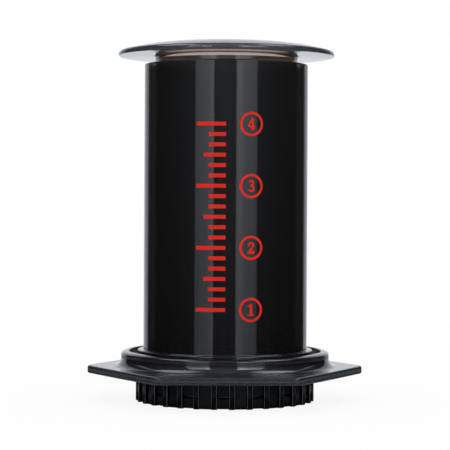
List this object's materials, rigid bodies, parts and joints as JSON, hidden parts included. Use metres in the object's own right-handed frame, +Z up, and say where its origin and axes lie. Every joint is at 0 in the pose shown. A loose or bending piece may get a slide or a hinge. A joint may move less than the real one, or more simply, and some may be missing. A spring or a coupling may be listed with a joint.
{
  "type": "piston coffee press",
  "caption": "Piston coffee press: clear tube chamber with a hexagonal mug plate, hollow plunger with a domed hand flange and rubber seal, twist-on perforated filter cap with paper filter.",
  "frame": {"origin": "on the plane the press stands on, under the tube's centre line", "axes": "+Z up the tube's centre line towards the hand flange; -Y towards the front, where the level marks are printed; the hexagonal plate has corners at +X and -X"},
  "size_m": [0.1104, 0.098, 0.1426],
  "materials": {
    "smoke_copolyester": "see-through smoke-grey copolyester, polished",
    "smoke_plunger_copolyester": "see-through smoke-grey copolyester, polished, with a satin inner wall",
    "black_polypropylene": "moulded, satin black",
    "black_rubber": "moulded thermoplastic elastomer, dull black",
    "filter_paper": "bleached filter paper, matte"
  },
  "bodies": {
    "chamber": {"chamber": "smoke_copolyester"},
    "plunger": {"plunger": "smoke_plunger_copolyester", "plunger_seal": "black_rubber"},
    "filter_cap": {"filter_cap": "black_polypropylene", "paper_filter": "filter_paper"}
  },
  "joints": [
    {"name": "plunger_slide", "type": "slide", "parent": "chamber", "child": "plunger", "axis": [0, 0, 1], "range_m": [0, 0.14]},
    {"name": "cap_twist", "type": "hinge", "parent": "chamber", "child": "filter_cap", "pos_m": [0, 0, 0.0078], "axis": [0, 0, 1], "range_deg": [-30, 0]}
  ]
}
